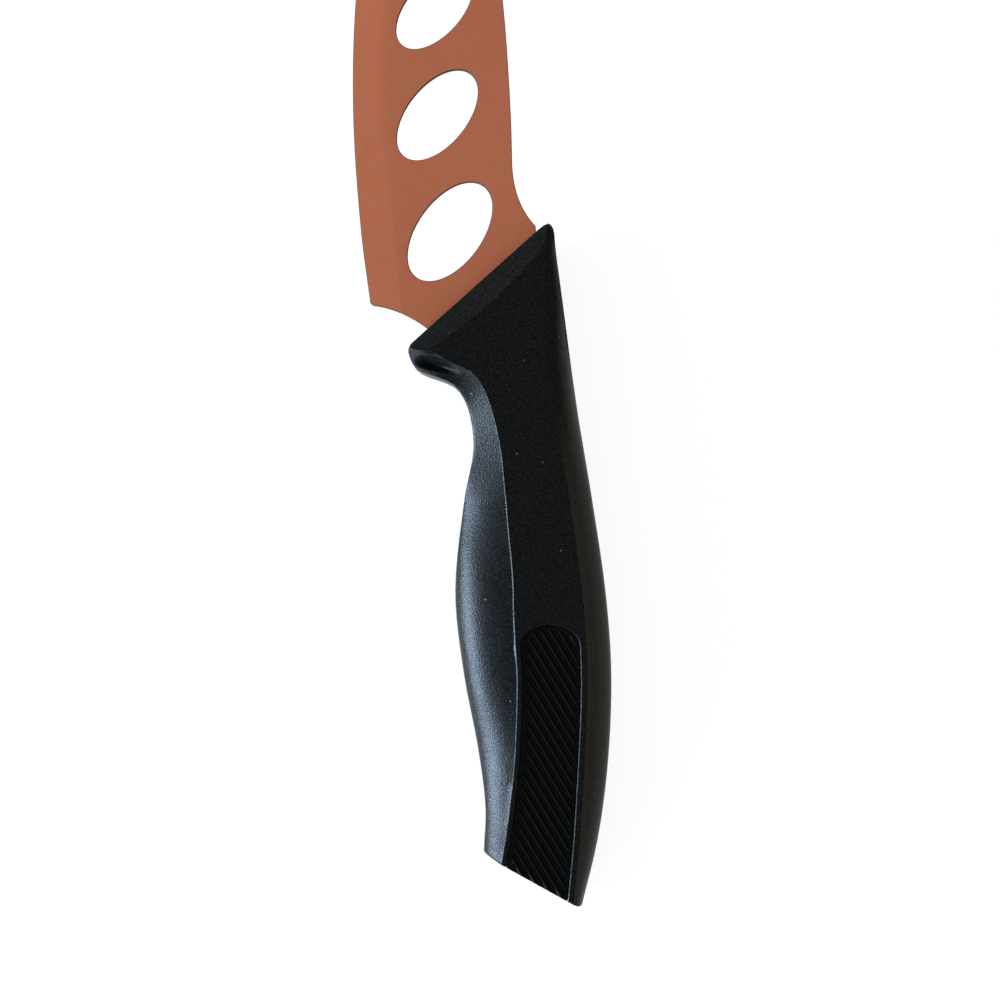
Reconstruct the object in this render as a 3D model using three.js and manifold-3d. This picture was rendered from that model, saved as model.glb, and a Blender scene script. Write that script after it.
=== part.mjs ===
// Cheese knife: a stamped blade with slanted air holes and a forked tip, its tang held between two
// moulded handle halves, and a soft ribbed inlay let into the flat of each half.
// Millimetres. The knife lies on its right side: +Z up, tip towards +Y, spine towards +X.
// Plan positions are measured from the middle of the handle's slanted front, heights from the middle
// of the blade's thickness.

import * as THREE from "three";
import { mergeVertices } from "three/addons/utils/BufferGeometryUtils.js";
import Module from "manifold-3d";

const wasm = await Module();
wasm.setup();

// Blade sheet and its grind
const BLADE_THICKNESS = 1.4;
const EDGE_THICKNESS = 0.3;
const BEVEL_WIDTH = 5.4;
const BEVEL_END = 0.8;
const BEVEL_FADE = 0.2;
const BEVEL_END_WIDTH = 2.2;

// Air holes, counted from the handle: the step from the one before, and the edge and back of the blade
// beside each. They get smaller and steeper towards the tip.
const HOLE_STEPS = [9.2, 20.8, 19.1, 17.3];
const EDGE_AT_HOLES = [-21.25, -22.65, -22.3, -20.4];
const BACK_AT_HOLES = [8.6, 5.5, 4.2, 1.9];
const HOLE_OFF_MIDDLE = 0.97;
const HOLE_HALF_LENGTH = 10.1;
const HOLE_HALF_LENGTH_LOSS = 0.65;
const HOLE_HALF_WIDTH = 5.75;
const HOLE_HALF_WIDTH_LOSS = 0.45;
const HOLE_LEAN = 53.8;
const HOLE_LEAN_LOSS = 2.6;

// Tip, as X and the distance forward of the last hole: the edge, the back and the notch of the fork
const TIP_EDGE = [[-16.2, 20], [-9.2, 37], [0.2, 49.5]];
const TIP_BACK = [[-1.2, 14], [-2.2, 24], [-0.4, 34.5], [4.6, 44.2]];
const FORK_EDGE_SIDE = [0.9, 49];
const FORK_EDGE_BEND = [-4.0, 41.8];
const FORK_BACK_BEND = [-1.6, 38.2];
const FORK_BACK_SIDE = [3.9, 44.9];

// Heel, choil and shoulder, where the blade comes out of the handle
const HEEL = [-19.6, -3.5];
const CHOIL_START = [-19.1, -4.0];
const CHOIL_BEND = [-14.0, -4.6];
const CHOIL_END = [-9.4, -8.1];
const SHOULDER_START = [5.75, 21.2];
const SHOULDER_BEND = [6.0, 14.4];
const SHOULDER_END = [9.9, 10.2];

// Tang
const TANG_AXIS = 8.6;
const TANG_WIDTH = 10.4;
const TANG_END = -78;
const TANG_END_CHAMFER = 2.5;
const TANG_EDGE_SHOULDER = -21;
const TANG_SPINE_SHOULDER = -14;
const TANG_CLEARANCE = 0.2;
const TANG_BED_GAP = 0.1;

// Handle section
const HANDLE_THICKNESS = 18;
const FRONT_THICKNESS = 14;
const FRONT_BAND_AT_NOSE = 2.4;
const FRONT_BAND_AT_TIP = 1.7;
const FRONT_BAND_BULGE = 1.95;
const FRONT_EDGE_RADIUS = 1.1;
const FRONT_TIP_BLUNT = 1.7;
const TAIL_EDGE_RADIUS = 0.5;
const LAND_STEP = 0.35;
const SPINE_STEP = 0.36;
const SPINE_TILT = 33;
const SPINE_WALL = 0.6;
const ROUND_PULL = 0.55;
const LEAST_FLANK = 0.5;

// Handle outline, from the slanted front to the slanted tail. Each station is a line across the handle,
// from its belly point to its spine point, with the widths of the rounded flanks beside the flat. The
// belly form is the flank's tilt in degrees beside the flat, the share of its side that is an upright
// wall, and the width of the step up to the flat.
const STATIONS = [
  { belly: [-12.9, -11.9], spine: [12.9, 11.2], bellyFlank: 1.5, spineFlank: 1.8, bellyForm: [36, 0.8, 1] },
  { belly: [-11.3, -15.4], spine: [13.3, 5.9], bellyFlank: 3.2, spineFlank: 3.7, bellyForm: [34, 0.84, 1.1] },
  { belly: [-3.9, -19], spine: [14.8, -5.4], bellyFlank: 3.4, spineFlank: 4.7, bellyForm: [36, 0.72, 1.1] },
  { belly: [-1.1, -28], spine: [17.3, -23], bellyFlank: 4, spineFlank: 3.9, bellyForm: [33, 0.74, 0.9] },
  { belly: [-2.8, -39], spine: [19.8, -38], bellyFlank: 7.1, spineFlank: 3.7, bellyForm: [28, 0.76, 0.4] },
  { belly: [-4.4, -55.1], spine: [22.3, -55.1], bellyFlank: 10, spineFlank: 3.9, bellyForm: [7, 0.16, 0.36] },
  { belly: [-2.9, -69.4], spine: [23.3, -69.4], bellyFlank: 9.2, spineFlank: 4, bellyForm: [9, 0.2, 0.36] },
  { belly: [-0.3, -83], spine: [22.7, -85.1], bellyFlank: 6.2, spineFlank: 3.9, bellyForm: [25, 0.34, 0.36] },
  { belly: [1, -93.1], spine: [20.9, -98.5], bellyFlank: 3.9, spineFlank: 3, bellyForm: [33, 0.7, 0.36] },
  { belly: [0.7, -100.9], spine: [18, -110.5], bellyFlank: 3.2, spineFlank: 1.4, bellyForm: [35, 0.72, 0.36] },
];

// Coring inside each half, and the pins that hold the halves together
const CORE_FROM = 1.8;
const CORE_TO = 5.5;
const CORE_WALL = 3.2;
const CORE_ROOF = 1.2;
const CORE_RIBS = [-24, -43];
const CORE_RIB_THICKNESS = 2;
const TANG_PINS = [-33, -60];
const PIN_RADIUS = 2.6;
const PIN_ROOF = 1.9;
const PIN_CLEARANCE = 0.3;
const BOSS_WALL = 2;

// Grip inlay
const GRIP_FROM = 5.64;
const GRIP_ARCH = 3.5;
const GRIP_MARGIN_BELLY = 1;
const GRIP_MARGIN_SPINE = 1.35;
const GRIP_DEPTH = 2.2;
const GRIP_CLEARANCE = 0.15;
const GRIP_RIM = 0.2;
const RIB_PITCH = 1.32;
const RIB_HALF_WIDTH = 0.42;
const RIB_HEIGHT = 0.5;
const RIB_BELOW_FLAT = 0.15;
const RIB_LEAN = 58.7;
const RIB_MARGIN = 0.6;
const RIB_ROOT = 0.2;
const RIB_CROWN = 0.6;
const PEG_BEHIND_FRONT = 0.5;
const PEG_BEFORE_TAIL = 0.8;
const PEG_RADIUS = 1.5;
const PEG_LENGTH = 1.8;
const PEG_CLEARANCE = 0.15;

// How far a cutting tool runs past the surface it opens, and the grind past the start of the edge
const OVERCUT = 1;
const BEVEL_LEAD = 3;
const FRONT_OVERCUT = 6;
const TAIL_OVERCUT = 6;

// Fineness of the curves
const EDGE_FACETS = 72;
const BACK_FACETS = 52;
const OVAL_FACETS = 56;
const BAR_FACETS = 28;
const FORK_FACETS = 20;
const BELLY_FACETS = 8;
const SPINE_FACETS = 6;
const ROUND_FACETS = 4;
const BAND_FACETS = 12;
const HANDLE_FACETS = 48;
const CORE_FACETS = 12;
const GRIP_FACETS = 14;
const ARCH_FACETS = 16;
const RIB_FACETS = 3;

const COPPER_COAT = new THREE.MeshStandardMaterial({ color: 0xa8624a, metalness: 1, roughness: 0.36 });
const BLACK_MOULDING = new THREE.MeshStandardMaterial({ color: 0x161818, metalness: 0, roughness: 0.5 });
const SOFT_GRIP = new THREE.MeshStandardMaterial({ color: 0x0c0d0d, metalness: 0, roughness: 0.75 });

const radians = THREE.MathUtils.degToRad;
const lerp = THREE.MathUtils.lerp;

// A closed three.js geometry as a solid that can be joined and cut
function solid(geometry) {
  const bare = geometry.clone();
  bare.deleteAttribute("normal");
  bare.deleteAttribute("uv");
  const welded = mergeVertices(bare, 1e-5);
  return new wasm.Manifold(new wasm.Mesh({
    numProp: 3,
    vertProperties: new Float32Array(welded.attributes.position.array),
    triVerts: new Uint32Array(welded.index.array),
  }));
}

// A solid as a three.js geometry again
function surface(body) {
  const mesh = body.getMesh();
  const geometry = new THREE.BufferGeometry();
  geometry.setAttribute("position", new THREE.BufferAttribute(new Float32Array(mesh.vertProperties), 3));
  geometry.setIndex(new THREE.BufferAttribute(new Uint32Array(mesh.triVerts), 1));
  geometry.computeVertexNormals();
  return geometry;
}

// A skin through a row of rings of equal point count, closed at both ends
function loft(rings) {
  const count = rings[0].length;
  const last = rings.length - 1;
  const points = rings.flat();
  const corners = [];
  for (let i = 0; i < last; i += 1) {
    for (let j = 0; j < count; j += 1) {
      const a = i * count + j;
      const b = i * count + ((j + 1) % count);
      corners.push(a, a + count, b);
      corners.push(b, a + count, b + count);
    }
  }
  for (const [row, turned] of [[0, false], [last, true]]) {
    const hub = new THREE.Vector3();
    rings[row].forEach((point) => hub.addScaledVector(point, 1 / count));
    points.push(hub);
    for (let j = 0; j < count; j += 1) {
      const a = row * count + j;
      const b = row * count + ((j + 1) % count);
      corners.push(points.length - 1, turned ? b : a, turned ? a : b);
    }
  }
  let volume = 0;
  for (let k = 0; k < corners.length; k += 3) {
    const cross = points[corners[k + 1]].clone().cross(points[corners[k + 2]]);
    volume += points[corners[k]].dot(cross);
  }
  const geometry = new THREE.BufferGeometry().setFromPoints(points);
  geometry.setIndex(volume > 0 ? corners : corners.reverse());
  return geometry;
}

// A flat outline raised between two heights
function plate(outline, from, to) {
  const shape = outline instanceof THREE.Shape ? outline : new THREE.Shape(outline);
  const options = { depth: to - from, bevelEnabled: false, curveSegments: FORK_FACETS };
  return solid(new THREE.ExtrudeGeometry(shape, options).translate(0, 0, from));
}

// An upright round bar between two heights
function bar(x, y, radius, from, to) {
  const geometry = new THREE.CylinderGeometry(radius, radius, to - from, BAR_FACETS);
  return solid(geometry.rotateX(Math.PI / 2).translate(x, y, (from + to) / 2));
}

function smoothLine(points) {
  const knots = points.map(([x, y, z = 0]) => new THREE.Vector3(x, y, z));
  return new THREE.CatmullRomCurve3(knots, false, "centripetal");
}

// Blade

const holeY = HOLE_STEPS.map((step, i) => HOLE_STEPS.slice(0, i + 1).reduce((sum, part) => sum + part, 0));
const lastHole = holeY[holeY.length - 1];

const ahead = ([x, distance]) => [x, lastHole + distance];

const edgeLine = smoothLine([
  HEEL,
  ...EDGE_AT_HOLES.map((x, i) => [x, holeY[i]]),
  ...TIP_EDGE.map(ahead),
]);

const backLine = smoothLine([
  SHOULDER_START,
  ...BACK_AT_HOLES.slice(1).map((x, i) => [x, holeY[i + 1]]),
  ...TIP_BACK.map(ahead),
]);

// The tang with its root: a straight bar that widens towards the front of the handle
function tangOutline(grow) {
  const spineSide = TANG_AXIS + TANG_WIDTH / 2 + grow;
  const edgeSide = TANG_AXIS - TANG_WIDTH / 2 - grow;
  return [
    new THREE.Vector2(SHOULDER_END[0] + grow, SHOULDER_END[1]),
    new THREE.Vector2(spineSide, TANG_SPINE_SHOULDER),
    new THREE.Vector2(spineSide, TANG_END + TANG_END_CHAMFER),
    new THREE.Vector2(spineSide - TANG_END_CHAMFER, TANG_END - grow),
    new THREE.Vector2(edgeSide + TANG_END_CHAMFER, TANG_END - grow),
    new THREE.Vector2(edgeSide, TANG_END + TANG_END_CHAMFER),
    new THREE.Vector2(edgeSide, TANG_EDGE_SHOULDER - grow),
    new THREE.Vector2(CHOIL_END[0] - grow, CHOIL_END[1] - grow),
  ];
}

// An oval hole, leaning by so many degrees from the X axis
function oval(x, y, halfLength, halfWidth, lean) {
  const curve = new THREE.EllipseCurve(x, y, halfLength, halfWidth, 0, 2 * Math.PI, false, radians(lean));
  return new THREE.Path(curve.getPoints(OVAL_FACETS).slice(1));
}

function bladeOutline() {
  const shape = new THREE.Shape();
  const edge = edgeLine.getPoints(EDGE_FACETS);
  const back = backLine.getPoints(BACK_FACETS).reverse();
  shape.moveTo(...HEEL);
  edge.slice(1).forEach((point) => shape.lineTo(point.x, point.y));
  shape.lineTo(...ahead(FORK_EDGE_SIDE));
  shape.bezierCurveTo(...ahead(FORK_EDGE_BEND), ...ahead(FORK_BACK_BEND), ...ahead(FORK_BACK_SIDE));
  back.forEach((point) => shape.lineTo(point.x, point.y));
  shape.quadraticCurveTo(...SHOULDER_BEND, ...SHOULDER_END);
  tangOutline(0).slice(1).forEach((point) => shape.lineTo(point.x, point.y));
  shape.quadraticCurveTo(...CHOIL_BEND, ...CHOIL_START);
  holeY.forEach((y, i) => {
    const x = (EDGE_AT_HOLES[i] + BACK_AT_HOLES[i]) / 2 + HOLE_OFF_MIDDLE;
    const halfLength = HOLE_HALF_LENGTH - i * HOLE_HALF_LENGTH_LOSS;
    const halfWidth = HOLE_HALF_WIDTH - i * HOLE_HALF_WIDTH_LOSS;
    shape.holes.push(oval(x, y, halfLength, halfWidth, HOLE_LEAN - i * HOLE_LEAN_LOSS));
  });
  TANG_PINS.forEach((y) => {
    const radius = PIN_RADIUS + PIN_CLEARANCE;
    shape.holes.push(oval(TANG_AXIS, y, radius, radius, 0));
  });
  return shape;
}

// What the grind takes off one face: a wedge along the edge that runs out before the fork
function bevelWaste(face) {
  const rings = [];
  for (let i = -1; i <= EDGE_FACETS * BEVEL_END; i += 1) {
    const t = Math.max(i, 0) / EDGE_FACETS;
    const along = edgeLine.getTangent(t);
    const inward = new THREE.Vector3(along.y, -along.x, 0);
    const start = edgeLine.getPoint(t).addScaledVector(along, i < 0 ? -BEVEL_LEAD : 0);
    const fade = THREE.MathUtils.smoothstep(t, BEVEL_END - BEVEL_FADE, BEVEL_END);
    const width = lerp(BEVEL_WIDTH, BEVEL_END_WIDTH, fade);
    const edgeHalf = lerp(EDGE_THICKNESS, BLADE_THICKNESS, fade) / 2;
    const slope = (BLADE_THICKNESS / 2 - edgeHalf) / width;
    const corner = (reach, height) => start.clone().addScaledVector(inward, reach).setZ(face * height);
    rings.push([
      corner(-OVERCUT, edgeHalf - OVERCUT * slope),
      corner(width + OVERCUT, edgeHalf + (width + OVERCUT) * slope),
      corner(width + OVERCUT, BLADE_THICKNESS),
      corner(-OVERCUT, BLADE_THICKNESS),
    ]);
  }
  return solid(loft(rings));
}

const bladeBody = plate(bladeOutline(), -BLADE_THICKNESS / 2, BLADE_THICKNESS / 2)
  .subtract(bevelWaste(1))
  .subtract(bevelWaste(-1));

// Handle

const bellyLine = smoothLine(STATIONS.map((station) => station.belly));
const spineLine = smoothLine(STATIONS.map((station) => station.spine));
const flankLine = smoothLine(STATIONS.map((station) => [station.bellyFlank, station.spineFlank]));
const formLine = smoothLine(STATIONS.map((station) => station.bellyForm));
const lastStation = STATIONS.length - 1;

// Middle of the handle at a station number
function middle(number) {
  const t = number / lastStation;
  return bellyLine.getPoint(t).lerp(spineLine.getPoint(t), 0.5);
}

// Station numbers per millimetre of handle, just behind the front and just before the tail
const frontRate = 1 / middle(0).distanceTo(middle(1));
const tailRate = 1 / middle(lastStation - 1).distanceTo(middle(lastStation));
const flatHeight = HANDLE_THICKNESS / 2;

// The line across the handle at a station number, which may lie between two stations
function across(number) {
  const t = number / lastStation;
  const belly = bellyLine.getPoint(t);
  const direction = spineLine.getPoint(t).sub(belly);
  const width = direction.length();
  const flank = flankLine.getPoint(t);
  const form = formLine.getPoint(t);
  return {
    belly,
    direction: direction.divideScalar(width),
    width,
    bellyFlank: flank.x,
    spineFlank: flank.y,
    bellyTilt: form.x,
    bellyWall: form.y,
    bellyStep: form.z,
    at: (distance, z) => belly.clone().addScaledVector(direction, distance).setZ(z),
  };
}

// One flank, from the parting line up its wall and round to the step beside the flat
function flankProfile(width, height, tilt, wall, facets) {
  const corner = new THREE.Vector2(0, height - width * Math.tan(radians(tilt)));
  const low = new THREE.Vector2(0, wall * corner.y);
  const high = new THREE.Vector2(width, height);
  const lowPull = low.clone().lerp(corner, ROUND_PULL);
  const highPull = high.clone().lerp(corner, ROUND_PULL);
  const round = new THREE.CubicBezierCurve(low, lowPull, highPull, high);
  return [[0, 0], ...round.getPoints(facets).map((point) => [point.x, point.y])];
}

// The upper half of the section as pairs of distance from the belly and height, drawn in all round by
// an inset and at the spine by a further blunting
function halfSection(line, inset, blunt) {
  const top = flatHeight - inset;
  const bellyFlank = Math.max(line.bellyFlank - inset, LEAST_FLANK * line.bellyFlank);
  const spineFlank = Math.max(line.spineFlank - inset, LEAST_FLANK * line.spineFlank);
  const spineEnd = line.width - inset - blunt;
  const rise = top - LAND_STEP;
  const bellySide = flankProfile(bellyFlank, rise, line.bellyTilt, line.bellyWall, BELLY_FACETS);
  const spineSide = flankProfile(spineFlank, rise, SPINE_TILT, SPINE_WALL, SPINE_FACETS);
  return [
    ...bellySide.map(([reach, z]) => [inset + reach, z]),
    [inset + bellyFlank + line.bellyStep, top],
    [spineEnd - spineFlank - SPINE_STEP, top],
    ...spineSide.reverse().map(([reach, z]) => [spineEnd - reach, z]),
  ];
}

// The handle's upper half, with a rounded run at each end
function envelope() {
  const roundStart = FRONT_EDGE_RADIUS * frontRate;
  const roundEnd = TAIL_EDGE_RADIUS * tailRate;
  const rings = [];
  const ring = (number, inset, blunt) => {
    const line = across(number);
    rings.push(halfSection(line, inset, blunt).map(([distance, z]) => line.at(distance, z)));
  };
  for (let i = 0; i <= ROUND_FACETS; i += 1) {
    const angle = (Math.PI / 2) * (i / ROUND_FACETS);
    const rest = 1 - Math.sin(angle);
    ring(roundStart * (1 - Math.cos(angle)), FRONT_EDGE_RADIUS * rest, FRONT_TIP_BLUNT * rest);
  }
  for (let i = 1; i < HANDLE_FACETS; i += 1) {
    ring(lerp(roundStart, lastStation - roundEnd, i / HANDLE_FACETS), 0, 0);
  }
  for (let i = ROUND_FACETS; i >= 0; i -= 1) {
    const angle = (Math.PI / 2) * (i / ROUND_FACETS);
    ring(lastStation - roundEnd * (1 - Math.cos(angle)), TAIL_EDGE_RADIUS * (1 - Math.sin(angle)), 0);
  }
  return solid(loft(rings));
}

// What is sloped off the flat behind the front, as a band that is widest in its middle
function frontBandWaste() {
  const front = across(0);
  const inward = new THREE.Vector3(front.direction.y, -front.direction.x, 0);
  const drop = (HANDLE_THICKNESS - FRONT_THICKNESS) / 2;
  const rings = [];
  for (let i = 0; i <= BAND_FACETS; i += 1) {
    const share = i / BAND_FACETS;
    const bulge = 4 * FRONT_BAND_BULGE * share * (1 - share);
    const width = lerp(FRONT_BAND_AT_NOSE, FRONT_BAND_AT_TIP, share) + bulge;
    const slope = drop / width;
    const start = front.at(lerp(-OVERCUT, front.width + OVERCUT, share), 0);
    const corner = (reach, height) => start.clone().addScaledVector(inward, reach).setZ(height);
    rings.push([
      corner(-OVERCUT, flatHeight - drop - OVERCUT * slope),
      corner(width + OVERCUT, flatHeight + OVERCUT * slope),
      corner(width + OVERCUT, HANDLE_THICKNESS),
      corner(-OVERCUT, HANDLE_THICKNESS),
    ]);
  }
  return solid(loft(rings));
}

const halfEnvelope = envelope().subtract(frontBandWaste());
const gripFloor = flatHeight - GRIP_DEPTH;
const coreHeight = gripFloor - CORE_ROOF;
const socketDepth = gripFloor - PIN_ROOF;
const pegStations = [GRIP_FROM + PEG_BEHIND_FRONT, lastStation - PEG_BEFORE_TAIL];

// The pins stand on the tang's axis: those through its holes, and one midway from its end to the tail
const tailMiddle = middle(lastStation);
const pinPlaces = [...TANG_PINS, (TANG_END + tailMiddle.y) / 2].map((y) => [TANG_AXIS, y]);

// The hollow inside one half, less the ribs and bosses that are left standing in it
function coring() {
  const widest = Math.max(...STATIONS.map((station, number) => across(number).width));
  const rings = [];
  for (let i = 0; i <= CORE_FACETS; i += 1) {
    const line = across(lerp(CORE_FROM, CORE_TO, i / CORE_FACETS));
    const spread = (line.width - 2 * CORE_WALL) / line.width;
    const section = halfSection(line, 0, 0);
    rings.push(section.map(([distance, z]) => line.at(
      CORE_WALL + distance * spread,
      z > 0 ? z * coreHeight / flatHeight : -OVERCUT,
    )));
  }
  let core = solid(loft(rings));
  for (const y of CORE_RIBS) {
    const rib = new THREE.BoxGeometry(2 * widest, CORE_RIB_THICKNESS, HANDLE_THICKNESS);
    core = core.subtract(solid(rib.translate(TANG_AXIS, y, 0)));
  }
  for (const y of TANG_PINS) {
    core = core.subtract(bar(TANG_AXIS, y, PIN_RADIUS + BOSS_WALL, -flatHeight, flatHeight));
  }
  return core;
}

// The bed for the tang: its outline, opened out through the handle's front
function tangBed() {
  const outline = tangOutline(TANG_CLEARANCE);
  const first = outline[0];
  const last = outline[outline.length - 1];
  outline.unshift(new THREE.Vector2(first.x, first.y + FRONT_OVERCUT));
  outline.push(new THREE.Vector2(last.x, last.y + FRONT_OVERCUT));
  return plate(outline, -OVERCUT, BLADE_THICKNESS / 2 + TANG_BED_GAP);
}

// Outline of the grip inlay: rounded at the front, open through the tail
function gripOutline(grow) {
  const sides = (number) => {
    const line = across(number);
    const bellySide = line.bellyFlank + line.bellyStep + GRIP_MARGIN_BELLY - grow;
    const spineSide = line.width - line.spineFlank - SPINE_STEP - GRIP_MARGIN_SPINE + grow;
    return [line.at(bellySide, 0), line.at(spineSide, 0)];
  };
  const down = [];
  const up = [];
  for (let i = 0; i <= GRIP_FACETS; i += 1) {
    const [left, right] = sides(lerp(GRIP_FROM, lastStation, i / GRIP_FACETS));
    down.push(left);
    up.unshift(right);
  }
  const leave = bellyLine.getTangent(1).setLength(TAIL_OVERCUT);
  down.push(down[down.length - 1].clone().add(leave));
  up.unshift(up[0].clone().add(leave));
  const left = down[0];
  const right = up[up.length - 1];
  const centre = left.clone().lerp(right, 0.5);
  const half = right.clone().sub(centre);
  const forward = new THREE.Vector3(-half.y, half.x, 0).setLength(GRIP_ARCH + grow);
  const arch = [];
  for (let i = 1; i < ARCH_FACETS; i += 1) {
    const angle = (Math.PI * i) / ARCH_FACETS;
    const sideways = half.clone().multiplyScalar(Math.cos(angle));
    arch.push(centre.clone().add(sideways).addScaledVector(forward, Math.sin(angle)));
  }
  return [...up, ...arch, ...down].map((point) => new THREE.Vector2(point.x, point.y));
}

// The pocket for the inlay, with a chamfered rim
function gripPocket() {
  const rim = [
    [GRIP_CLEARANCE, flatHeight - GRIP_RIM],
    [GRIP_CLEARANCE + GRIP_RIM + OVERCUT, flatHeight + OVERCUT],
  ];
  const lift = (outline, z) => outline.map((point) => new THREE.Vector3(point.x, point.y, z));
  const rings = rim.map(([grow, z]) => lift(gripOutline(grow), z));
  return plate(gripOutline(GRIP_CLEARANCE), gripFloor, flatHeight + OVERCUT).add(solid(loft(rings)));
}

// Middle of the grip at a station number
function gripMiddle(number) {
  const line = across(number);
  const bellySide = line.bellyFlank + GRIP_MARGIN_BELLY;
  const spineSide = line.width - line.spineFlank - GRIP_MARGIN_SPINE;
  return line.at((bellySide + spineSide) / 2, 0);
}

// One half, drawn on the +Z side. The pinned half carries the pins, the other one their sockets.
function handleHalf(pinned) {
  let half = halfEnvelope
    .subtract(coring())
    .subtract(tangBed())
    .subtract(gripPocket());
  for (const number of pegStations) {
    const place = gripMiddle(number);
    const depth = PEG_LENGTH + 2 * PEG_CLEARANCE;
    half = half.subtract(bar(place.x, place.y, PEG_RADIUS + PEG_CLEARANCE, gripFloor - depth, flatHeight));
  }
  for (const [x, y] of pinPlaces) {
    half = pinned
      ? half.add(bar(x, y, PIN_RADIUS, PIN_CLEARANCE - socketDepth, coreHeight / 2))
      : half.subtract(bar(x, y, PIN_RADIUS + PIN_CLEARANCE, -OVERCUT, socketDepth));
  }
  return half;
}

// One soft inlay, drawn on the +Z side: a pad with slanting ribs and two pegs underneath
function gripInlay() {
  const outline = gripOutline(0);
  const ribTop = flatHeight - RIB_BELOW_FLAT;
  const padTop = ribTop - RIB_HEIGHT;
  const ridge = new THREE.Shape();
  ridge.moveTo(-RIB_HALF_WIDTH, -RIB_ROOT);
  ridge.lineTo(RIB_HALF_WIDTH, -RIB_ROOT);
  ridge.lineTo(RIB_HALF_WIDTH, 0);
  ridge.quadraticCurveTo(RIB_CROWN * RIB_HALF_WIDTH, RIB_HEIGHT, 0, RIB_HEIGHT);
  ridge.quadraticCurveTo(-RIB_CROWN * RIB_HALF_WIDTH, RIB_HEIGHT, -RIB_HALF_WIDTH, 0);
  const start = gripMiddle(GRIP_FROM);
  const end = gripMiddle(lastStation);
  const length = start.distanceTo(end) + across(GRIP_FROM).width;
  const count = Math.ceil(length / RIB_PITCH);
  const options = { depth: length, bevelEnabled: false, curveSegments: RIB_FACETS };
  let ribs = null;
  for (let i = 0; i < count; i += 1) {
    const geometry = new THREE.ExtrudeGeometry(ridge, options);
    geometry.translate((i - count / 2) * RIB_PITCH, 0, -length / 2);
    geometry.rotateX(Math.PI / 2);
    geometry.rotateZ(radians(90 - RIB_LEAN));
    geometry.translate((start.x + end.x) / 2, (start.y + end.y) / 2, padTop);
    ribs = ribs ? ribs.add(solid(geometry)) : solid(geometry);
  }
  let pad = plate(outline, gripFloor, padTop)
    .add(ribs.intersect(plate(gripOutline(-RIB_MARGIN), gripFloor, flatHeight)))
    .intersect(halfEnvelope);
  for (const number of pegStations) {
    const place = gripMiddle(number);
    pad = pad.add(bar(place.x, place.y, PEG_RADIUS, gripFloor - PEG_LENGTH, padTop));
  }
  return pad;
}

const knife = new THREE.Group();
knife.name = "cheese_knife";

function place(name, body, material, turned) {
  const mesh = new THREE.Mesh(surface(body), material);
  mesh.name = name;
  mesh.scale.z = turned ? -1 : 1;
  knife.add(mesh);
}

const inlay = gripInlay();
place("blade", bladeBody, COPPER_COAT, false);
place("left_handle_half", handleHalf(false), BLACK_MOULDING, false);
place("right_handle_half", handleHalf(true), BLACK_MOULDING, true);
place("left_grip_inlay", inlay, SOFT_GRIP, false);
place("right_grip_inlay", inlay, SOFT_GRIP, true);

// Set down with the middle of its footprint on the origin
knife.updateMatrixWorld(true);
const extent = new THREE.Box3().setFromObject(knife, true);
const footing = new THREE.Vector3(
  (extent.min.x + extent.max.x) / 2,
  (extent.min.y + extent.max.y) / 2,
  extent.min.z,
);
knife.children.forEach((mesh) => mesh.position.sub(footing));

export default knife;
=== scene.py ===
# Cheese knife with a copper-coloured blade and a black moulded handle, seen from straight above.
# Metres, in the frame of the solids: the knife lies on its right side, tip towards +Y, spine towards +X.

from collections import namedtuple
from math import copysign, pi, radians, tan

import bmesh
import bpy
from mathutils import Matrix, Vector


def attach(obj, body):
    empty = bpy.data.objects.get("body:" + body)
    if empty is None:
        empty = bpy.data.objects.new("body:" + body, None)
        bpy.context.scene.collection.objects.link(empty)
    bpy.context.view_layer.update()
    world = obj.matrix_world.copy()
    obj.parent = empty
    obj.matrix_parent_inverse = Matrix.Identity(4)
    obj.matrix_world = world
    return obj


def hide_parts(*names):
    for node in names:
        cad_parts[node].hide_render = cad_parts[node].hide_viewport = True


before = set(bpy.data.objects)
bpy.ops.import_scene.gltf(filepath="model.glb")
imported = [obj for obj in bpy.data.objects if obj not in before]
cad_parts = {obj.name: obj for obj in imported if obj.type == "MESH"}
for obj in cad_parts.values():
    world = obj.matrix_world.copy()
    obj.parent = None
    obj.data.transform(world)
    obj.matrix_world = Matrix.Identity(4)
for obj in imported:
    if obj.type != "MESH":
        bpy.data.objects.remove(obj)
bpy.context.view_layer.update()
scene = bpy.context.scene
scene.view_settings.view_transform = "Standard"

MM = 0.001
BLADE_PLANE = 9 * MM


# Camera

CAMERA_X = 3.275 * MM
CAMERA_Y = -41.458 * MM
CAMERA_RISE = 450 * MM
VIEW_WIDTH = 178.57 * MM
SENSOR_WIDTH = 36
NEAREST_VIEW = 10 * MM

camera_data = bpy.data.cameras.new("camera")
camera_data.sensor_width = SENSOR_WIDTH
camera_data.lens = SENSOR_WIDTH * CAMERA_RISE / VIEW_WIDTH
camera_data.clip_start = NEAREST_VIEW
camera = bpy.data.objects.new("camera", camera_data)
camera.location = (CAMERA_X, CAMERA_Y, BLADE_PLANE + CAMERA_RISE)
scene.collection.objects.link(camera)
scene.camera = camera


# Node helpers

# Places of the colour sockets on a Mix node
MIX_SHARE = 0
MIX_FIRST = 6
MIX_SECOND = 7
MIX_RESULT = 2


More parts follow.
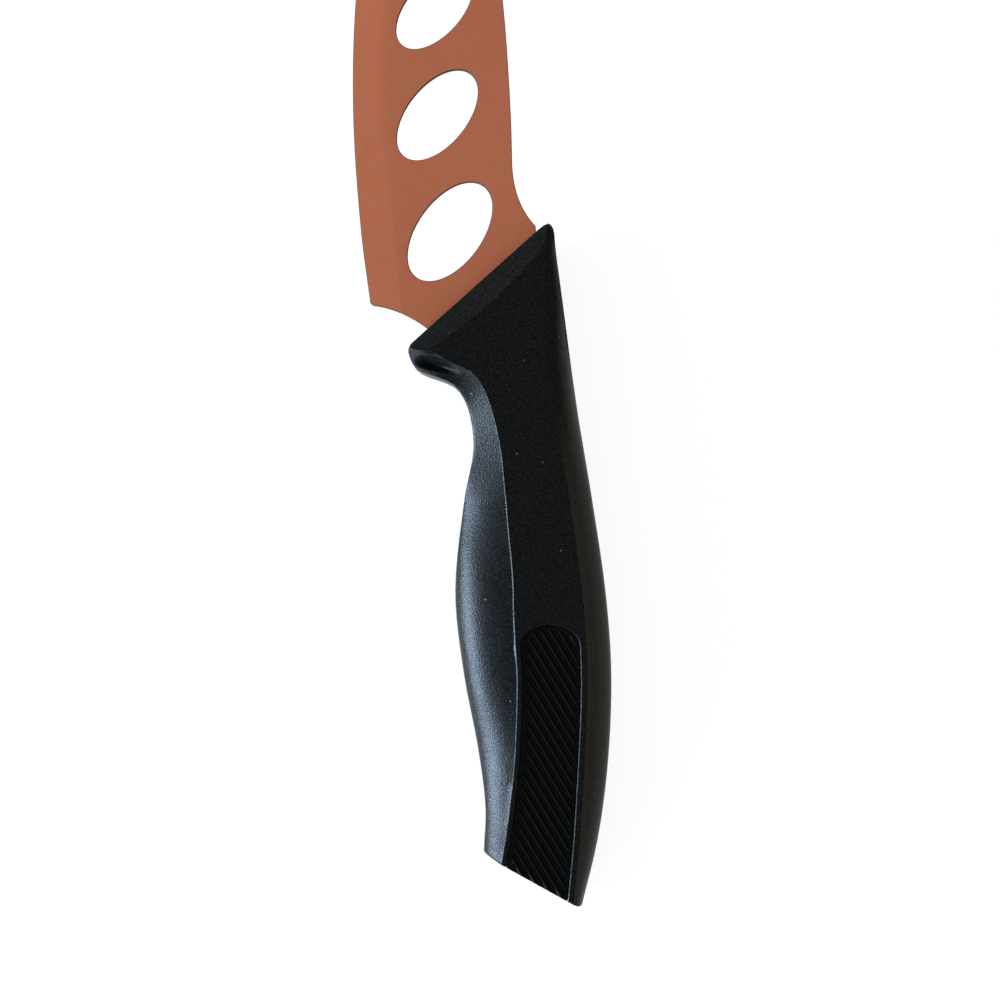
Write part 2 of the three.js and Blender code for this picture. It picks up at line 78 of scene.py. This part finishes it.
class Finish:
    """One material with a Principled shader, and short ways to add nodes to it."""

    def __init__(self, name):
        self.material = bpy.data.materials.new(name)
        self.material.use_nodes = True
        self.tree = self.material.node_tree
        self.shader = self.tree.nodes["Principled BSDF"]
        self.place = self.add("ShaderNodeTexCoord").outputs["Object"]

    def add(self, kind, **settings):
        node = self.tree.nodes.new(kind)
        for key, value in settings.items():
            setattr(node, key, value)
        return node

    def feed(self, socket, source):
        if isinstance(source, bpy.types.NodeSocket):
            self.tree.links.new(source, socket)
        else:
            socket.default_value = source

    def noise(self, scale, detail, place=None):
        node = self.add("ShaderNodeTexNoise")
        self.feed(node.inputs["Vector"], place or self.place)
        node.inputs["Scale"].default_value = scale
        node.inputs["Detail"].default_value = detail
        return node.outputs["Fac"]

    def streaks(self, scale, detail):
        """Noise with a scale of its own along each axis."""
        node = self.add("ShaderNodeMapping")
        self.feed(node.inputs["Vector"], self.place)
        node.inputs["Scale"].default_value = scale
        return self.noise(1, detail, node.outputs["Vector"])

    def remap(self, source, span, to=(0, 1)):
        node = self.add("ShaderNodeMapRange")
        self.feed(node.inputs["Value"], source)
        node.inputs["From Min"].default_value = span[0]
        node.inputs["From Max"].default_value = span[1]
        node.inputs["To Min"].default_value = to[0]
        node.inputs["To Max"].default_value = to[1]
        return node.outputs["Result"]

    def math(self, operation, first, second):
        node = self.add("ShaderNodeMath", operation=operation)
        self.feed(node.inputs[0], first)
        self.feed(node.inputs[1], second)
        return node.outputs["Value"]

    def blend(self, share, first, second):
        node = self.add("ShaderNodeMix", data_type="RGBA")
        self.feed(node.inputs[MIX_SHARE], share)
        self.feed(node.inputs[MIX_FIRST], first)
        self.feed(node.inputs[MIX_SECOND], second)
        return node.outputs[MIX_RESULT]

    def bump(self, height, strength, depth):
        node = self.add("ShaderNodeBump")
        self.feed(node.inputs["Height"], height)
        node.inputs["Strength"].default_value = strength
        node.inputs["Distance"].default_value = depth
        return node.outputs["Normal"]

    def set(self, name, source):
        self.feed(self.shader.inputs[name], source)


# Finishes: noise scales are per metre

COPPER_DARK = (0.765, 0.240, 0.118, 1)
COPPER_LIGHT = (0.83, 0.268, 0.135, 1)
COPPER_CLOUD = (0.80, 0.28, 0.16, 1)
COPPER_PATCH = (0.765, 0.285, 0.168, 1)
# The near-black tones of the blade's cut walls and chamfers are painted shade, which draws the dark
# outlines round the holes and rims.
SHADED_CUT_DARK = (0.024, 0.014, 0.010, 1)
SHADED_CUT_LIGHT = (0.045, 0.026, 0.019, 1)
MOULDING_DARK = (0.0006, 0.0011, 0.0010, 1)
MOULDING_LIGHT = (0.0138, 0.0160, 0.0158, 1)
LINT_TONE = (0.16, 0.16, 0.15, 1)
LINT_SCALE = 300
GRIP_DARK = (0.0006, 0.0010, 0.0010, 1)
GRIP_LIGHT = (0.0034, 0.0044, 0.0044, 1)
USUAL_SPAN = (0.3, 0.7)


def copper_coat():
    finish = Finish("copper_coat")
    speckle = finish.noise(scale=2600, detail=3)
    cloud = finish.noise(scale=45, detail=2)
    patches = finish.noise(scale=420, detail=3)
    tone = finish.blend(finish.remap(speckle, USUAL_SPAN), COPPER_DARK, COPPER_LIGHT)
    clouded = finish.remap(cloud, span=(0.35, 0.7), to=(0, 0.35))
    tone = finish.blend(clouded, tone, COPPER_CLOUD)
    patched = finish.remap(patches, span=(0.38, 0.62), to=(0, 0.55))
    tone = finish.blend(patched, tone, COPPER_PATCH)
    grind = finish.streaks(scale=(300, 4200, 300), detail=2)
    finish.set("Base Color", tone)
    finish.set("Metallic", 1.0)
    finish.set("Roughness", finish.remap(cloud, USUAL_SPAN, to=(0.37, 0.41)))
    finish.set("Normal", finish.bump(grind, strength=0.2, depth=0.03 * MM))
    return finish.material


def shaded_cut_edge():
    finish = Finish("shaded_cut_edge")
    drag = finish.streaks(scale=(900, 900, 5000), detail=2)
    # The drag streaks are the cut's texture; the near-black tone is painted shade on the walls and
    # chamfers.
    finish.set("Base Color", finish.blend(finish.remap(drag, USUAL_SPAN), SHADED_CUT_DARK, SHADED_CUT_LIGHT))
    finish.set("Metallic", 0.0)
    finish.set("Specular IOR Level", 0.2)
    finish.set("Roughness", 0.6)
    return finish.material


def black_moulding():
    finish = Finish("black_moulding")
    grain = finish.noise(scale=3000, detail=2)
    mottle = finish.noise(scale=240, detail=3)
    fleck = finish.noise(scale=3600, detail=4)
    tone = finish.blend(finish.remap(fleck, span=(0.40, 0.66)), MOULDING_DARK, MOULDING_LIGHT)
    lint = finish.add("ShaderNodeTexVoronoi")
    finish.feed(lint.inputs["Vector"], finish.place)
    lint.inputs["Scale"].default_value = LINT_SCALE
    speck = finish.remap(lint.outputs["Distance"], span=(0.030, 0.055), to=(1, 0))
    finish.set("Base Color", finish.blend(speck, tone, LINT_TONE))
    finish.set("Roughness", finish.remap(mottle, USUAL_SPAN, to=(0.34, 0.40)))
    finish.set("Specular IOR Level", 0.1)
    finish.set("Normal", finish.bump(grain, strength=1.0, depth=0.06 * MM))
    return finish.material


def soft_grip():
    finish = Finish("soft_grip")
    grain = finish.noise(scale=2800, detail=2)
    finish.set("Base Color", finish.blend(finish.remap(grain, USUAL_SPAN), GRIP_DARK, GRIP_LIGHT))
    finish.set("Roughness", 0.42)
    finish.set("Specular IOR Level", 0.1)
    finish.set("Normal", finish.bump(grain, strength=0.6, depth=0.03 * MM))
    return finish.material


# Pieces: each is a merged copy of its solid

MERGE_GAP = 0.002 * MM
FLAT_ANGLE = radians(0.4)
SHARP_ANGLE = radians(30)
LEVEL_ANGLE = radians(2)
LEVEL_SLOPE = 0.9999


def copy_of(node, name):
    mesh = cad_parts[node].data.copy()
    mesh.name = name
    mesh.materials.clear()
    shape = bmesh.new()
    shape.from_mesh(mesh)
    bmesh.ops.remove_doubles(shape, verts=shape.verts, dist=MERGE_GAP)
    bmesh.ops.dissolve_limit(
        shape, angle_limit=FLAT_ANGLE, verts=shape.verts, edges=shape.edges
    )
    return mesh, shape


def is_level(face):
    return abs(face.normal.z) > LEVEL_SLOPE


def is_smooth(edge):
    if len(edge.link_faces) != 2 or not edge.smooth:
        return False
    first, second = edge.link_faces
    limit = SHARP_ANGLE if is_level(first) == is_level(second) else LEVEL_ANGLE
    return edge.calc_face_angle() < limit


def finish_piece(node, name, mesh, shape, material):
    shape.normal_update()
    for face in shape.faces:
        face.smooth = True
    for edge in shape.edges:
        edge.smooth = is_smooth(edge)
    shape.to_mesh(mesh)
    shape.free()
    mesh.materials.append(material)
    piece = bpy.data.objects.new(name, mesh)
    scene.collection.objects.link(piece)
    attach(piece, "root")
    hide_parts(node)


# Handle plan: lines across the handle, in millimetres from the middle of its slanted front.
# Each station has the belly's point and then the spine's. A place along the handle is a station number.

STATIONS = (
    (-12.9, -11.9, 12.9, 11.2),
    (-11.3, -15.4, 13.3, 5.9),
    (-3.9, -19.0, 14.8, -5.4),
    (-1.1, -28.0, 17.3, -23.0),
    (-2.8, -39.0, 19.8, -38.0),
    (-4.4, -55.1, 22.3, -55.1),
    (-2.9, -69.4, 23.3, -69.4),
    (-0.3, -83.0, 22.7, -85.1),
    (1.0, -93.1, 20.9, -98.5),
    (0.7, -100.9, 18.0, -110.5),
)
LINES_PER_STATION = 100
FRONT_MIDDLE = Vector((-0.2953, -2.7975))


def curve_point(points, number):
    """A point of the smooth line through the given points, as the solids have it."""
    index = min(int(number), len(points) - 2)
    start, end = points[index], points[index + 1]
    before = points[index - 1] if index > 0 else 2 * start - end
    after = points[index + 2] if index + 2 < len(points) else 2 * end - start
    gap0 = (start - before).length ** 0.5
    gap1 = (end - start).length ** 0.5
    gap2 = (after - end).length ** 0.5
    pull0 = (start - before) / gap0 - (end - before) / (gap0 + gap1) + (end - start) / gap1
    pull1 = (end - start) / gap1 - (after - start) / (gap1 + gap2) + (after - end) / gap2
    pull0 = pull0 * gap1
    pull1 = pull1 * gap1
    t = number - index
    return (
        start
        + pull0 * t
        + (3 * (end - start) - 2 * pull0 - pull1) * t ** 2
        + (2 * (start - end) + pull0 + pull1) * t ** 3
    )


belly_points = [Vector(station[:2]) for station in STATIONS]
spine_points = [Vector(station[2:]) for station in STATIONS]
lines = []
for count in range((len(STATIONS) - 1) * LINES_PER_STATION + 1):
    number = count / LINES_PER_STATION
    lines.append((curve_point(belly_points, number), curve_point(spine_points, number)))


def side_of(index, point):
    belly, spine = lines[index]
    return (spine - belly).cross(point - belly)


def locate(point):
    """The station number of a plan point, with the belly and spine points of its line."""
    low, high = 0, len(lines) - 1
    if side_of(low, point) > 0 or side_of(high, point) < 0:
        return None
    while high - low > 1:
        half = (low + high) // 2
        if side_of(half, point) <= 0:
            low = half
        else:
            high = half
    past, ahead = side_of(low, point), side_of(high, point)
    share = past / (past - ahead)
    belly = lines[low][0].lerp(lines[high][0], share)
    spine = lines[low][1].lerp(lines[high][1], share)
    return (low + share) / LINES_PER_STATION, belly, spine


def plan(vertex):
    return vertex.co.xy / MM - FRONT_MIDDLE


def height_of(vertex):
    return abs(vertex.co.z - BLADE_PLANE) / MM


def put(vertex, spot, height):
    side = copysign(1, vertex.co.z - BLADE_PLANE)
    vertex.co.xy = (spot + FRONT_MIDDLE) * MM
    vertex.co.z = BLADE_PLANE + side * height * MM


def ramp(value, start, end):
    t = min(max((value - start) / (end - start), 0), 1)
    return t * t * (3 - 2 * t)


def mix(first, second, share):
    return first + (second - first) * share


def table(pairs, value):
    for (left, low), (right, high) in zip(pairs, pairs[1:]):
        if value <= right:
            return low + (high - low) * max(value - left, 0) / (right - left)
    return pairs[-1][1]


# Handle flanks: the vertices of the solid lie on rings across the handle.
# In a table the first number is a station number. Lengths are millimetres and tilts are degrees.

RingPoint = namedtuple("RingPoint", "reach vertex belly along width")

FIRST_RING = 0.2438
RING_STEP = 0.18138
RING_COUNT = 49
TIP_RINGS = [0.019, 0.071, 0.15]
RING_PLACES = TIP_RINGS + [FIRST_RING + index * RING_STEP for index in range(RING_COUNT)]
RING_REACH = 0.009
SIDE_SLACK = 0.01
LEAST_OUTWARD = 0.2

FLAT_HEIGHT = 9.0
FLAT_SLACK = 0.05
LOWEST_FLANK = 1
FEWEST_BELLY_POINTS = 3
FEWEST_SPINE_POINTS = 4

CREASE_START = (1.0, 1.6)
CREASE_END = (8.7, 8.95)
CREASE_DEPTHS = ((1.8, 0.16), (3.6, 0.17), (4.6, 0.24), (5.4, 0.22), (6.5, 0.16), (9.0, 0.16))
CREASE_LEAN = 0.8
WIDEST_STEP = 1.2
KEPT_STEP = 0.36

FACET_END = (4.0, 4.6)
FACET_TILTS = ((1.2, 41), (2.0, 38), (2.6, 36), (3.3, 33), (3.7, 30), (4.1, 21), (4.6, 10))
FACET_CURLS = ((1.5, 1.0), (1.8, 0.75), (2.1, 0.3), (2.5, 0.0))
FACET_EDGE = 0.15
FACET_EDGE_DROP = 0.2
BEND_START = (3.4, 4.2)
BEND_ROUND = 2.5

ROLL_START = (-0.05, 0.15)
ROLL_END = (1.8, 4.0)
OWN_FALL_START = (1.6, 3.4)
SPINE_FALLS = ((0.6, 0.8), (1.0, 1.5))
SPINE_ROLLS = ((0.6, 2.0), (1.0, 5.5), (2.0, 4.5), (3.0, 3.2), (4.0, 2.4))
TIP_PULLS = ((0.019, 0.1), (0.071, 0.25), (0.15, 0.6), (0.244, 0.5), (0.425, 0.15), (0.606, 0.0))


def outer_rings(shape, side):
    """The outer vertices of a handle half, by the ring of the solid that they lie on."""
    rings = {}
    for vertex in shape.verts:
        found = locate(plan(vertex))
        if not found or side * (vertex.co.z - BLADE_PLANE) < -SIDE_SLACK * MM:
            continue
        number, belly, spine = found
        ring = min(RING_PLACES, key=lambda place: abs(place - number))
        if abs(ring - number) > RING_REACH:
            continue
        along = (spine - belly).normalized()
        reach = (plan(vertex) - belly).dot(along)
        width = (spine - belly).length
        outward = along if reach > width / 2 else -along
        if vertex.normal.xy.dot(outward) + side * vertex.normal.z < LEAST_OUTWARD:
            continue
        rings.setdefault(ring, []).append(RingPoint(reach, vertex, belly, along, width))
    return rings


def crease_belly(ring, number):
    """Planes the belly flank along the scoop, sets a crisp crease beside the flat and gives its foot."""
    start = ramp(number, *CREASE_START)
    crisp = start * (1 - ramp(number, *CREASE_END))
    facet = start * (1 - ramp(number, *FACET_END))
    half = sorted((p for p in ring if p.reach < p.width / 2), key=lambda p: p.reach)
    below_flat = FLAT_HEIGHT - FLAT_SLACK
    flat = [p for p in half if height_of(p.vertex) > below_flat]
    flank = [p for p in half if LOWEST_FLANK < height_of(p.vertex) < below_flat]
    if not flat or len(flank) < FEWEST_BELLY_POINTS or crisp == 0:
        return None
    corner, foot = flat[0], flank[-1]
    step = corner.reach - foot.reach
    if step > WIDEST_STEP:
        return None
    border = corner.reach - max(step - KEPT_STEP, 0) * crisp
    put(corner.vertex, corner.belly + corner.along * border, height_of(corner.vertex))
    depth = table(CREASE_DEPTHS, number)
    inner = mix(foot.reach, border - CREASE_LEAN * depth, crisp)
    lift = (FLAT_HEIGHT - depth - height_of(foot.vertex)) * crisp
    top = height_of(foot.vertex) + lift
    fall = inner * tan(radians(table(FACET_TILTS, number)))
    bend = max(top - height_of(flank[0].vertex) - fall, 0) * ramp(number, *BEND_START)
    for point in flank:
        share = point.reach / foot.reach
        place = inner * share
        out = 1 - share
        curl = table(FACET_CURLS, number) * out / 2
        drop = FACET_EDGE_DROP * max(1 - place / FACET_EDGE, 0) ** 2
        planed = top - fall * out * (1 - curl) - bend * out ** BEND_ROUND - drop
        height = mix(height_of(point.vertex) + lift * share, planed, facet)
        put(point.vertex, point.belly + point.along * place, height)
    return foot.vertex


def roll_spine(ring, number):
    """Softens the spine flank at the tip and behind it, so that the flat rolls over into it."""
    share = ramp(number, *ROLL_START) * (1 - ramp(number, *ROLL_END))
    half = sorted((p for p in ring if p.reach > p.width / 2), key=lambda p: p.reach)
    raised = [p for p in half if height_of(p.vertex) > LOWEST_FLANK]
    if share == 0 or len(raised) < FEWEST_SPINE_POINTS:
        return
    top = max(height_of(p.vertex) for p in raised)
    crest = max(p.reach for p in raised if height_of(p.vertex) > top - FLAT_SLACK)
    rim = raised[-1]
    own_fall = top - height_of(rim.vertex)
    fall = mix(table(SPINE_FALLS, number), own_fall, ramp(number, *OWN_FALL_START))
    for point in half:
        if point.reach <= crest:
            continue
        out = (point.reach - crest) / (rim.reach - crest)
        height = height_of(point.vertex)
        if height > LOWEST_FLANK:
            rolled = top - fall * out ** table(SPINE_ROLLS, number)
            height = mix(height, rolled, share)
        pulled = point.reach - out * table(TIP_PULLS, number)
        put(point.vertex, point.belly + point.along * pulled, height)


# Finger hollow under the guard, in millimetres

HOLLOW_MIDDLE = Vector((-8.4, -14.6))
HOLLOW_REACH = Vector((3.8, 1.5))
HOLLOW_RUN_OUT = 5.4
HOLLOW_TURN = radians(10)
HOLLOW_BEND = 0.04
HOLLOW_DEPTH = 1.8
HOLLOW_FLOOR = 0.2
HOLLOW_LOWEST = 3
HOLLOW_MARGIN = 0.8
HOLLOW_MESH = 0.18
HOLLOW_CUTS = 5


def hollow_distance(spot, margin):
    """How far a plan point is from the hollow's middle, as a share of the way to its border."""
    offset = spot - HOLLOW_MIDDLE
    offset.rotate(Matrix.Rotation(HOLLOW_TURN, 2))
    offset.y += HOLLOW_BEND * max(offset.x, 0) ** 2
    reach = HOLLOW_REACH.x if offset.x < 0 else HOLLOW_RUN_OUT
    return Vector((offset.x / (reach + margin), offset.y / (HOLLOW_REACH.y + margin))).length


def near_hollow(part):
    """Whether an edge or a face has a vertex in the hollow or close by."""
    return any(
        height_of(vertex) > HOLLOW_LOWEST and hollow_distance(plan(vertex), HOLLOW_MARGIN) < 1
        for vertex in part.verts
    )


def press_hollow(shape):
    skin = [face for face in shape.faces if not is_level(face) and near_hollow(face)]
    bmesh.ops.triangulate(shape, faces=skin)
    for _ in range(HOLLOW_CUTS):
        long = [
            edge for edge in shape.edges
            if edge.calc_length() > HOLLOW_MESH * MM and near_hollow(edge)
        ]
        bmesh.ops.subdivide_edges(shape, edges=long, cuts=1)
        rough = [
            face for face in shape.faces
            if len(face.verts) > 3 and not is_level(face) and near_hollow(face)
        ]
        bmesh.ops.triangulate(shape, faces=rough)
    for vertex in shape.verts:
        distance = hollow_distance(plan(vertex), 0)
        if distance < 1 and height_of(vertex) > HOLLOW_LOWEST:
            depth = HOLLOW_DEPTH * (1 - ramp(distance, HOLLOW_FLOOR, 1))
            put(vertex, plan(vertex), height_of(vertex) - depth)


# Rim of the grip's pocket, and the handle as a whole

GRIP_FRONT = -60
RIM_SHIFT = 0.03
RIM_SLOPES = (0.4, 0.95)
RIM_SLACK = 0.01
LEAST_INWARD = -0.3
BROAD_FACE = 20


def is_clear_of_flank(vertex):
    found = locate(plan(vertex))
    if not found or height_of(vertex) <= FLAT_HEIGHT - RIM_SLACK:
        return False
    belly, spine = found[1:]
    inward = (belly + spine) / 2 - plan(vertex)
    slopes = [face.normal.xy for face in vertex.link_faces if not is_level(face)]
    return all(slope.dot(inward) > LEAST_INWARD for slope in slopes)


def narrow_rim(shape):
    """Draws the flat in over the chamfer round the grip's pocket."""
    shifts = {}
    for edge in shape.edges:
        if len(edge.link_faces) != 2 or edge.verts[0].co.y > GRIP_FRONT * MM:
            continue
        flat, rim = sorted(edge.link_faces, key=lambda face: -abs(face.normal.z))
        if is_level(flat) and RIM_SLOPES[0] < abs(rim.normal.z) < RIM_SLOPES[1]:
            inward = rim.normal.xy.normalized()
            for vertex in edge.verts:
                if is_clear_of_flank(vertex):
                    shifts.setdefault(vertex, []).append(inward)
    for vertex, directions in shifts.items():
        way = sum(directions, Vector((0, 0))).normalized()
        vertex.co.xy += way * RIM_SHIFT * MM


def shape_handle(shape, side):
    """Shapes one handle half, and marks its creases and the borders of its broad faces as sharp."""
    shape.normal_update()
    creases = set()
    for number, ring in outer_rings(shape, side).items():
        creases.add(crease_belly(ring, number))
        roll_spine(ring, number)
    shape.normal_update()
    for edge in shape.edges:
        edge.smooth = not all(vertex in creases for vertex in edge.verts)
        if len(edge.link_faces) == 2 and edge.calc_face_angle() > LEVEL_ANGLE:
            broad = [face.calc_area() > BROAD_FACE * MM ** 2 for face in edge.link_faces]
            edge.smooth = edge.smooth and broad[0] == broad[1]
    narrow_rim(shape)
    press_hollow(shape)


# Blade: its grind line is softened and its rims are broken by a fine chamfer, in millimetres

FINE_GAP = 0.02
GRIND_ROUND = 0.9
GRIND_STEPS = 4
GRIND_RUN = (-7, 54)
GRIND_SLOPE = 0.98
RIM_CHAMFER = 0.12
RIM_FROM = -8
WALL_SLOPE = 0.3
SIDE_SLOPE = 0.9
CUT_SLOPE = 0.95


def bevel(shape, edges, width, steps):
    bmesh.ops.bevel(
        shape,
        geom=edges,
        offset=width * MM,
        offset_type="OFFSET",
        segments=steps,
        profile=0.5,
        affect="EDGES",
        material=-1,
        clamp_overlap=False,
    )


def round_grind_line(shape):
    """Softens the line where the ground bevel meets the blade's flat."""
    bmesh.ops.remove_doubles(shape, verts=shape.verts, dist=FINE_GAP * MM)
    shape.normal_update()
    start, end = GRIND_RUN
    line = []
    for edge in shape.edges:
        if len(edge.link_faces) != 2:
            continue
        first, second = edge.link_faces
        shallow = min(abs(first.normal.z), abs(second.normal.z)) > GRIND_SLOPE
        in_run = all(start * MM < vertex.co.y < end * MM for vertex in edge.verts)
        if shallow and in_run and is_level(first) != is_level(second):
            line.append(edge)
    bevel(shape, line, GRIND_ROUND, GRIND_STEPS)
    shape.normal_update()


def break_rims(shape):
    rims = []
    for edge in shape.edges:
        if len(edge.link_faces) != 2:
            continue
        wall, side = sorted(abs(face.normal.z) for face in edge.link_faces)
        ahead = min(vertex.co.y for vertex in edge.verts) > RIM_FROM * MM
        if wall < WALL_SLOPE and side > SIDE_SLOPE and ahead:
            rims.append(edge)
    bevel(shape, rims, RIM_CHAMFER, 1)


def paint_shade_on_cuts(mesh, material):
    """Gives the blade's chamfers and cut walls a near-black finish, which is painted shade for the dark
    outlines round the holes and rims.
    """
    mesh.materials.append(material)
    for face in mesh.polygons:
        # Steep faces take the second finish, the painted shade.
        face.material_index = int(abs(face.normal.z) < CUT_SLOPE)


copper = copper_coat()
shaded_edge_finish = shaded_cut_edge()
moulding = black_moulding()
grip = soft_grip()

for node, name, material, slot in (
    ("blade", "pierced_blade", copper, "copper_coat"),
    ("left_handle_half", "left_handle_shell", moulding, "black_moulding"),
    ("right_handle_half", "right_handle_shell", moulding, "black_moulding"),
    ("left_grip_inlay", "left_ribbed_grip", grip, "soft_grip"),
    ("right_grip_inlay", "right_ribbed_grip", grip, "soft_grip"),
):
    mesh, shape = copy_of(node, name)
    if node.endswith("handle_half"):
        shape_handle(shape, 1 if node.startswith("left") else -1)
    if node == "blade":
        round_grind_line(shape)
        break_rims(shape)
    finish_piece(node, name, mesh, shape, material)
    if node == "blade":
        # The blade's cut walls and chamfers get the painted shade.
        paint_shade_on_cuts(mesh, shaded_edge_finish)


# Floor

FLOOR_REACH = 12.0
FLOOR_SIDES = 64
FLOOR_TONE = (0.3, 0.3, 0.3, 1)
FLOOR_ROUGHNESS = 0.22
FLOOR_GLOW = 0.86
WHITE = (1, 1, 1, 1)


def floor_sheet():
    finish = Finish("floor_sheet")
    rays = finish.add("ShaderNodeLightPath").outputs
    seen = finish.math("MAXIMUM", rays["Is Camera Ray"], rays["Is Glossy Ray"])
    seen = finish.math("MAXIMUM", seen, rays["Is Transmission Ray"])
    finish.set("Base Color", FLOOR_TONE)
    finish.set("Roughness", FLOOR_ROUGHNESS)
    finish.set("Emission Color", WHITE)
    finish.set("Emission Strength", finish.math("MULTIPLY", seen, FLOOR_GLOW))
    return finish.material


floor_mesh = bpy.data.meshes.new("floor")
floor_shape = bmesh.new()
bmesh.ops.create_circle(floor_shape, cap_ends=True, segments=FLOOR_SIDES, radius=FLOOR_REACH)
floor_shape.to_mesh(floor_mesh)
floor_shape.free()
floor_mesh.materials.append(floor_sheet())
floor = bpy.data.objects.new("floor", floor_mesh)
scene.collection.objects.link(floor)


# Light

ROOM_STRENGTH = 0.42


def soft_box(name, place, aim, width, height, radiance, colour):
    lamp = bpy.data.lights.new(name, "AREA")
    lamp.shape = "RECTANGLE"
    lamp.size = width
    lamp.size_y = height
    lamp.energy = radiance * pi * width * height
    lamp.color = colour
    holder = bpy.data.objects.new(name, lamp)
    holder.location = place
    holder.rotation_euler = (Vector(aim) - Vector(place)).to_track_quat("-Z", "Y").to_euler()
    holder.visible_camera = False
    scene.collection.objects.link(holder)


soft_box(
    "window",
    place=(-1.1, -0.21, 0.10),
    aim=(0.0, -0.21, 0.01),
    width=0.44,
    height=0.24,
    radiance=114.0,
    colour=(0.60, 0.77, 1.0),
)
soft_box(
    "side_window",
    place=(-0.71, -0.86, 0.12),
    aim=(0.0, -0.02, 0.01),
    width=0.35,
    height=0.22,
    radiance=30.0,
    colour=(0.62, 0.78, 1.0),
)
soft_box(
    "lamp",
    place=(0.9, -0.12, 0.14),
    aim=(0.008, -0.055, 0.01),
    width=0.8,
    height=0.24,
    radiance=1.5,
    colour=(1.0, 0.73, 0.32),
)
soft_box(
    "back_lamp",
    place=(-0.5, 0.52, 0.66),
    aim=(0.0, 0.0, 0.01),
    width=0.5,
    height=0.4,
    radiance=1.1,
    colour=(1.0, 0.62, 0.34),
)

world = bpy.data.worlds.new("room")
world.use_nodes = True
room = world.node_tree.nodes["Background"]
room.inputs["Color"].default_value = WHITE
room.inputs["Strength"].default_value = ROOM_STRENGTH
scene.world = world
